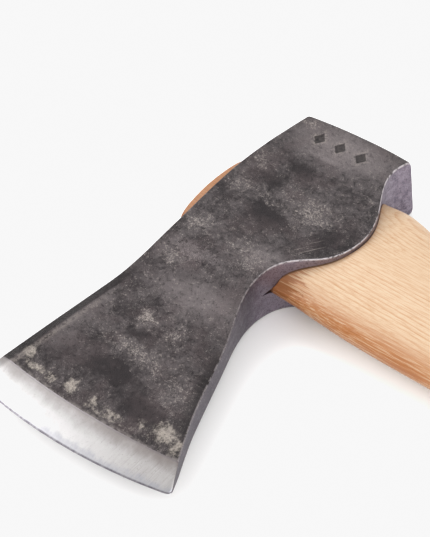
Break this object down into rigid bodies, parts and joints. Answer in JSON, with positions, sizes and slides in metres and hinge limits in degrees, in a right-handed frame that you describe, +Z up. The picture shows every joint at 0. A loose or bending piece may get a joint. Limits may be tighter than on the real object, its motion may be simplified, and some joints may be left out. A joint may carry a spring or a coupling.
{
  "type": "hatchet",
  "caption": "Small forged hatchet with a flared bit, lugs and a flat poll on a curved wooden handle, held by a wooden and a steel wedge, lying on its side.",
  "frame": {"origin": "middle of the footprint, on the surface the hatchet lies on", "axes": "+X along the handle to its end, +Y to the poll, -Y to the cutting edge, +Z up, square to the cheeks"},
  "size_m": [0.3622, 0.1534, 0.024],
  "materials": {
    "forged_steel": "dark forge scale on the cheeks, bare ground steel on the bevels and narrow faces, waxed",
    "hickory": "sanded and oiled, grain along the handle",
    "wedge_wood": "driven hardwood, end trimmed flush",
    "wedge_steel": "bare steel, hammered end"
  },
  "bodies": {
    "root": {"head": "forged_steel", "handle": "hickory", "wooden_wedge": "wedge_wood", "steel_wedge": "wedge_steel"}
  },
  "joints": []
}
